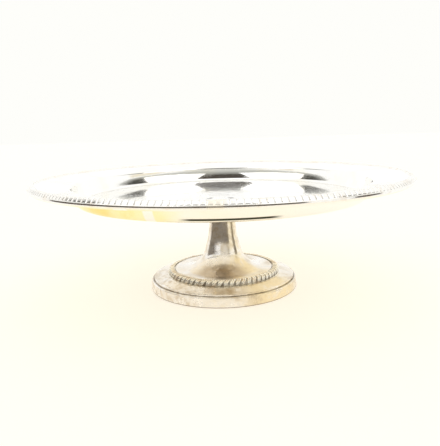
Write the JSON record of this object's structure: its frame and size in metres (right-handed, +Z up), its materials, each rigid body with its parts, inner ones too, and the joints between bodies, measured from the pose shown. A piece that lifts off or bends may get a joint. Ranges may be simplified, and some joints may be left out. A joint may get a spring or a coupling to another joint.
{
  "type": "footed silver salver",
  "caption": "Round footed salver: a shallow spun dish with a sloping brim and lobed border on a hollow trumpet stem and stepped round foot.",
  "frame": {"origin": "centre of the circle on which the foot stands, on the surface it stands on", "axes": "+Z up along the axis of the stem; X and Y lie in the surface it stands on and are alike, because every piece but the nut is turned about Z"},
  "size_m": [0.305, 0.305, 0.0951],
  "materials": {
    "plate_silver": "mirror-polished silver plate with fine scratches",
    "border_silver": "polished silver plate, dark tarnish in the hollows",
    "foot_silver": "worn silver plate with yellow and brown tarnish",
    "fixing_brass": "turned, dull",
    "fixing_steel": "plain"
  },
  "bodies": {
    "root": {"salver_plate": "plate_silver", "rim_border": "border_silver", "rim_edge_wire": "border_silver", "seat_collar": "fixing_brass", "stem_trumpet": "foot_silver", "stem_cap": "fixing_brass", "tie_stud": "fixing_steel", "clamp_washer": "fixing_steel", "clamp_nut": "fixing_steel", "foot_border": "border_silver", "foot_flange": "foot_silver", "foot_band": "foot_silver"}
  },
  "joints": []
}
